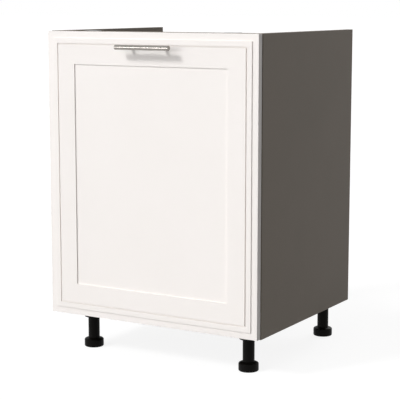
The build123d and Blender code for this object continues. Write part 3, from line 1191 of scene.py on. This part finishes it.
@dataclass
class Carcass(BoardBox):
    """The carcass: two sides, a bottom and three rails, and their hidden joints."""

    dowels: str = "carcass_dowels"
    boards: tuple[tuple[str, Thickness], ...] = (
        ("side_panel_left", Thickness.X),
        ("side_panel_right", Thickness.X),
        ("bottom_panel", Thickness.Z),
        ("front_rail", Thickness.Y),
        ("rear_rail_upper", Thickness.Y),
        ("rear_rail_lower", Thickness.Y),
    )
    bolt_thread: Thread = Thread(2.4, 10.6, 2.2, 0.7)
    cam_recess: CrossRecess = CrossRecess(5.4, 2.0, 2.6)
    cam_radius: float = 7.5
    cam_depth: float = 12.5
    cam_steps: int = 72

    def build(self) -> None:
        """Make and dress the carcass."""
        super().build()
        self.build_bolts()
        self.build_cams()

    def build_bolts(self) -> None:
        """Turn the cam bolts: a coarse thread, a smooth shank, a thin neck and the head the cam grips."""
        screwed = [(0.0, 0.0), (1.1, 0.0, 0.3), (2.5, 2.6, 0.3), (2.5, 11.0, 0.1), (3.5, 11.0, 0.3)]
        grip = [(3.5, 29.2, 0.4), (2.2, 29.8, 0.2), (2.2, 33.6, 0.2), (3.2, 34.0, 0.2), (3.2, 36.2, 0.7)]
        outline = sampled(rounded([*screwed, *grip, (0.0, 36.2)]), 3.2, 10.4, 0.35)
        bolt = revolved(outline, SMALL_STEPS, self.bolt_thread)
        self.shop.copies("cam_bolts", bolt, inward, BOLT_STEEL, THREAD_CREASE)

    def build_cams(self) -> None:
        """Turn the cams with their cross recess.

        A cam looks out of its board: the bottom's cams look down, the front rail's back and the rear
        rails' cams forward.
        """
        wide, deep = self.cam_radius, self.cam_depth
        rings = np.linspace(0.05, 0.95, 20)[:, None] * np.array([[5.6, 0.0]])
        edge = rounded([(0.0, 0.0), (6.1, 0.0, 0.15), (6.4, 0.35, 0.15), (7.0, 0.35, 0.1), (wide, 0.8, 0.2)])
        foot = rounded([(wide, 0.8), (wide, deep, 0.3), (0.0, deep)])
        outline = np.concatenate([edge[:1], rings, edge[1:], foot[1:]])
        cam = driven(revolved(outline, self.cam_steps), self.cam_recess, 0.0, 0.2)
        bottom_top = self.shop.box("bottom_panel").high[2]
        rail_back = self.shop.box("front_rail").high[1]

        def aim(box: Box) -> Axis:
            """Return the way into the board that the cam sits in."""
            if box.high[2] < bottom_top:
                return UP
            return FORWARD if box.high[1] < rail_back + 1.0 else BACK

        self.shop.copies("cams", cam, aim, CAST_ZINC, THREAD_CREASE)


@dataclass
class WorktopBrackets(Assembly):
    """Two steel angles behind the front rail, each with a hole for a worktop screw."""

    arris: float = 0.35
    least_edge: float = 1.5

    def build(self) -> None:
        """Make the brackets and their screws."""
        for side in Side:
            node = f"worktop_bracket_{side.value}"
            self.shop.softened(node, ZINC_PLATE, self.arris, self.least_edge)
        Screws("worktop_bracket_screws").build(self.shop)


@dataclass
class Front(Assembly):
    """The tall front with its milled rim, groove and recess, and the bumpers on its back."""

    arris: float = 0.25
    bumper_radius: float = 5.0

    def build(self) -> None:
        """Make the front and its bumpers."""
        self.shop.softened("front_panel", LACQUER, self.arris)
        wide, rise = self.bumper_radius, self.shop.islands("front_bumpers")[0].reach(BACK)
        dome = [(wide, 0.1, 0.1), (wide * 0.6, rise, 2.0), (0.0, rise)]
        bumper = revolved(rounded([(0.0, 0.0), (wide, 0.0, 0.05), *dome]), SMALL_STEPS)
        self.shop.copies("front_bumpers", bumper, lambda box: BACK, CLEAR_RUBBER, DROP_CREASE)


@dataclass
class Handle(Assembly):
    """A straight round bar on two posts, screwed from behind."""

    bar_radius: float = 6.0
    post_radius: float = 4.0
    bevel: float = 0.5
    sunk: float = 0.15
    steps: int = 96

    def build(self) -> None:
        """Make the bar, its posts and its screws."""
        self.build_bar()
        self.build_posts()
        machine = {"head_radius": 4.0, "head_height": 2.4, "pitch": 0.7, "thread_depth": 0.35, "tip": 0.6}
        Screws("handle_screws", **machine).build(self.shop)

    def build_bar(self) -> None:
        """Turn the bar, with bevelled ends whose faces are slightly dished."""
        length = self.shop.box("handle_bar").reach(RIGHTWARD)
        radius, bevel = self.bar_radius, self.bevel
        near = [(0.0, 0.12), (radius * 0.5, 0.05), (radius - bevel, 0.0, 0.15), (radius, bevel, 0.3)]
        outline = sampled(rounded(mirrored(near, length)), bevel + 1.0, length - bevel - 1.0, 8.0)
        bar = revolved(outline, self.steps)
        self.shop.copies("handle_bar", bar, lambda box: RIGHTWARD, BRUSHED_STEEL, BAR_CREASE)

    def build_posts(self) -> None:
        """Make each post as a tube of heights that ends in a saddle under the bar.

        At angle a the post's wall stands at radius r, so it lies r sin a off the bar's axis, and the
        saddle's height is the bar's distance less the root of R squared less (r sin a) squared. The
        tube's heights run along -Y, and its foot has a rounded edge.
        """
        edge = np.array([(0.0, 0.0), (3.7, 0.0), (3.92, 0.08), (self.post_radius, 0.3)])
        shares = np.append(np.linspace(0.1, 1.0, 12), 1.0)
        share = np.append(np.zeros(len(edge)), shares)[:, None]
        fixed = np.append(edge[:, 1], np.zeros(len(shares)))[:, None]
        walls = np.append(np.full(len(shares) - 1, self.post_radius), 0.0)
        radius = np.append(edge[:, 0], walls)[:, None]
        angle = np.linspace(0.0, 2 * math.pi, self.steps, endpoint=False)
        across = radius * np.sin(angle)
        bar_y = self.shop.box("handle_bar").middle[1]
        shells = []
        for box in self.shop.islands("handle_posts"):
            saddle = box.high[1] - bar_y + self.sunk - np.sqrt(self.bar_radius**2 - across**2)
            grid = np.stack([radius * np.cos(angle), -(fixed + share * saddle), across], axis=-1)
            shells.append(Shell(grid.reshape(-1, 3) + box.entry(FORWARD), lattice(*across.shape)))
        self.shop.piece("handle_posts", merged(shells), BRUSHED_STEEL, BAR_CREASE)


@dataclass
class Legs(Assembly):
    """Four legs: a collar and stem screwed under the bottom, and a foot that screws out of the stem."""

    arris: float = 0.4
    spool_radius: float = 25.0
    shoulder: float = 20.0
    spool_height: float = 23.0
    stem_radius: float = 14.7
    plug_radius: float = 12.0
    plug_bore: float = 9.5
    plug_length: float = 45.0
    steps: int = 96
    thread: Thread = Thread(27.0, 66.0, 5.0, 1.1)

    def build(self) -> None:
        """Make the four bodies and feet and their screws."""
        foot = self.foot()
        for end in ("front", "rear"):
            for side in Side:
                spot = f"{end}_{side.value}"
                self.shop.softened(f"leg_body_{spot}", BLACK_PLASTIC, self.arris)
                self.shop.copies(f"leg_foot_{spot}", foot, lambda box: UP, BLACK_PLASTIC, CREASE)
        Screws("leg_screws", aim=lambda box: UP, steps=32).build(self.shop)

    def foot(self) -> Shell:
        """Turn the foot: a spool with a dished sole, and a hollow plug with a coarse moulded thread.

        The thread's depth is taken from points that lie further out than the plug's wall.

        Returns:
            The foot, standing on its origin.
        """
        wide, stem, plug, bore = self.spool_radius, self.stem_radius, self.plug_radius, self.plug_bore
        high = self.spool_height
        top = high + self.plug_length
        sole = [(0.0, 0.8), (16.0, 0.8, 0.6), (17.5, 0.0, 0.4), (wide, 0.0, 3.0)]
        spool = [(wide, self.shoulder, 4.0), (stem + 2.2, high - 0.2, 0.8), (stem, high, 0.3)]
        outside = [(plug, high, 0.2), (plug, top, 0.5)]
        inside = [(bore, top, 0.5), (bore, high + 1.0, 1.0), (0.0, high + 1.0)]
        outline = rounded([*sole, *spool, *outside, *inside])
        plain = revolved(sampled(outline, self.thread.low - 1.0, self.thread.high + 1.0, 0.6), self.steps)
        x, y, z = plain.points.T
        radius, angle = np.hypot(x, y), np.arctan2(y, x) % (2 * math.pi)
        on_plug = (radius > bore + 1.0) & (z > self.thread.low) & (z < self.thread.high)
        sunk = radius - np.where(on_plug, self.thread.sink(z, angle), 0.0)
        return plain.drawn_in(np.divide(sunk, radius, out=np.ones_like(radius), where=radius > 0))


@dataclass
class Runners(Assembly):
    """Two ball runners, each with three members, two cages and four rows of balls, and their screws."""

    ball_radius: float = 2.2
    ball_steps: int = 32
    member_arris: float = 0.25
    cage_arris: float = 0.12

    def build(self) -> None:
        """Make the members, the cages, the balls and the screws, which point into the boards."""
        for side in Side:
            for member in ("cabinet", "middle", "drawer"):
                node = f"runner_{member}_member_{side.value}"
                self.shop.softened(node, ZINC_PLATE, self.member_arris)
            for stage in ("outer", "inner"):
                self.shop.softened(f"ball_cage_{stage}_{side.value}", ZINC_PLATE, self.cage_arris)
                self.build_balls(f"balls_{stage}_{side.value}")
        for node, aim in (("runner_cabinet_screws", outward), ("runner_drawer_screws", inward)):
            Screws(node, ScrewHead.FLAT, aim, head_height=1.2).build(self.shop)

    def build_balls(self, node: str) -> None:
        """Set a ball at each solid's middle: radius times the cosine and sine of latitude and longitude.

        Args:
            node: The balls' node.
        """
        latitude = np.linspace(-math.pi / 2, math.pi / 2, self.ball_steps // 2 + 1)
        outline = self.ball_radius * np.stack([np.cos(latitude), np.sin(latitude)], axis=-1)
        outline[[0, -1], 0] = 0.0
        ball = revolved(outline, self.ball_steps)
        balls = merged(ball.turned(box.middle, UP) for box in self.shop.islands(node))
        self.shop.piece(node, balls, BALL_STEEL, BALL_CREASE)


@dataclass
class Drawer(BoardBox):
    """The low drawer box behind the front."""

    dowels: str = "drawer_dowels"
    boards: tuple[tuple[str, Thickness], ...] = (
        ("drawer_side_left", Thickness.X),
        ("drawer_side_right", Thickness.X),
        ("drawer_inner_front", Thickness.Y),
        ("drawer_back", Thickness.Y),
        ("drawer_base", Thickness.Z),
    )

    def build(self) -> None:
        """Make the box, its dowels and the screws that hold the front."""
        super().build()
        Screws("front_fixing_screws").build(self.shop)


@dataclass
class Gallery(Assembly):
    """The two rails that hold the tall front square, with their sockets and posts."""

    rail_radius: float = 5.0
    rail_steps: int = 64
    arris: float = 0.4
    least_edge: float = 2.5

    def build(self) -> None:
        """Make the rails, sockets, posts and their screws."""
        for side in Side:
            node = f"gallery_rail_{side.value}"
            length = self.shop.box(node).reach(BACK)
            ends = mirrored([(0.0, 0.0), (self.rail_radius, 0.0, 0.6)], length)
            rail = revolved(sampled(rounded(ends), 1.0, length - 1.0, 12.0), self.rail_steps)
            self.shop.copies(node, rail, lambda box: BACK, POWDER_COAT, BAR_CREASE)
            for part in ("front_socket", "rear_post"):
                holder = f"gallery_{part}_{side.value}"
                self.shop.softened(holder, POWDER_COAT, self.arris, self.least_edge)
        Screws("gallery_screws", aim=self.aim).build(self.shop)

    @staticmethod
    def aim(box: Box) -> Axis:
        """Return a screw's way in: forward into the front, or outward into a drawer side."""
        return FORWARD if box.reach(BACK) > box.reach(RIGHTWARD) else outward(box)


# Studio


@dataclass(frozen=True)
class Lamp:
    """One distant soft box: where it stands seen from the object, how wide it looks, and its level."""

    name: str
    direction: tuple[float, float, float]
    width: float
    level: float
    mirrored: bool = True
    distance: float = 3.0

    def build(self) -> None:
        """Set the lamp up.

        A matt white that faces it has the radiance of its strength over pi, so the strength is the
        wanted level times pi. Its width in degrees sets how soft its shadows are.
        """
        data = bpy.data.lights.new(self.name, "SUN")
        data.energy = self.level * math.pi
        data.angle = math.radians(self.width)
        away = Vector(self.direction).normalized()
        lamp = placed(self.name, data)
        lamp.visible_glossy = self.mirrored
        lamp.location = away * self.distance
        lamp.rotation_euler = (-away).to_track_quat("-Z", "Y").to_euler()


@dataclass
class Studio:
    """A white floor and surround, a key light from the left, a weak one from behind, and the camera."""

    ambient: float = 0.19
    floor_paint: str = "#838383"
    floor_white: float = 0.875
    floor_reach: float = 60.0
    camera_place: tuple[float, float, float] = (1.705, -2.880, 0.893)
    camera_turn: tuple[float, float, float] = (81.34, 0.0, 30.61)
    lens: float = 117.6
    sensor: float = 36.0
    sight: float = 100.0
    lamps: tuple[Lamp, ...] = (
        Lamp("key_light", (-0.40, -0.68, 0.61), 12.0, 0.50, mirrored=False),
        Lamp("front_light", (-0.509, -0.86, 0.06), 90.0, 0.77, mirrored=False),
        Lamp("sheen_light", (-0.509, -0.860, 0.03), 10.0, 0.14),
        Lamp("rear_light", (0.12, 0.84, 0.52), 40.0, 0.30),
    )

    def build(self) -> None:
        """Make the studio."""
        scene = bpy.context.scene
        scene.view_settings.view_transform = "Standard"
        for lamp in self.lamps:
            lamp.build()
        self.build_world(scene)
        self.build_floor()
        self.build_camera(scene)

    def seen(self, tree: bpy.types.NodeTree) -> bpy.types.NodeSocket:
        """Return a value of one for rays that show the background, straight, mirrored or through glass.

        Args:
            tree: The node tree.

        Returns:
            The value's socket.
        """
        rays = add_node(tree, "ShaderNodeLightPath").outputs
        shown = rays["Is Camera Ray"]
        for kind in ("Is Glossy Ray", "Is Transmission Ray"):
            greater = add_node(tree, "ShaderNodeMath", {"operation": "MAXIMUM"}, {0: shown, 1: rays[kind]})
            shown = greater.outputs[0]
        return shown

    def build_world(self, scene: bpy.types.Scene) -> None:
        """Surround the object with white for what is seen, and a low even light for what it lights.

        Args:
            scene: The scene.
        """
        world = bpy.data.worlds.new("white_surround")
        scene.world = world
        tree = cleared(world)
        shown = add_node(tree, "ShaderNodeBackground", inputs={"Color": WHITE, "Strength": 1.0})
        light = add_node(tree, "ShaderNodeBackground", inputs={"Color": WHITE, "Strength": self.ambient})
        sides = {0: self.seen(tree), 1: light.outputs[0], 2: shown.outputs[0]}
        choice = add_node(tree, "ShaderNodeMixShader", inputs=sides)
        add_node(tree, "ShaderNodeOutputWorld", inputs={"Surface": choice.outputs[0]})

    def build_floor(self) -> None:
        """Lay a pale matt floor, mostly white by itself to what looks at it, that keeps a faint shadow."""
        reach = self.floor_reach
        corners = [(-reach, -reach, 0.0), (reach, -reach, 0.0), (reach, reach, 0.0), (-reach, reach, 0.0)]
        mesh = bpy.data.meshes.new("studio_floor")
        mesh.from_pydata(corners, [], [(0, 1, 2, 3)])
        floor = placed("studio_floor", mesh)
        material = bpy.data.materials.new("matt_white_studio_floor")
        tree = cleared(material)
        paint = add_node(tree, "ShaderNodeBsdfDiffuse", inputs={"Color": linear(self.floor_paint)})
        factors = {0: self.seen(tree), 1: self.floor_white}
        share = add_node(tree, "ShaderNodeMath", {"operation": "MULTIPLY"}, factors)
        glow = add_node(tree, "ShaderNodeEmission", inputs={"Color": WHITE, "Strength": share.outputs[0]})
        both = add_node(tree, "ShaderNodeAddShader", inputs={0: paint.outputs[0], 1: glow.outputs[0]})
        add_node(tree, "ShaderNodeOutputMaterial", inputs={"Surface": both.outputs[0]})
        mesh.materials.append(material)

    def build_camera(self, scene: bpy.types.Scene) -> None:
        """Set the camera where the photograph was taken from.

        Args:
            scene: The scene.
        """
        data = bpy.data.cameras.new("camera")
        data.sensor_width = self.sensor
        data.lens = self.lens
        data.clip_end = self.sight
        camera = placed("camera", data)
        camera.location = self.camera_place
        camera.rotation_euler = tuple(math.radians(turn) for turn in self.camera_turn)
        scene.camera = camera


def main() -> None:
    """Load the frame, dress each sub-assembly on it, and set up the studio."""
    logging.basicConfig(level=logging.INFO, format="%(name)s %(message)s")
    shop = Workshop(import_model())
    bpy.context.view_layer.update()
    for kind in (Carcass, WorktopBrackets, Front, Handle, Legs, Runners, Drawer, Gallery):
        log.info("building %s", kind.__name__)
        kind(shop).build()
    Studio().build()


if __name__ == "__main__":
    main()
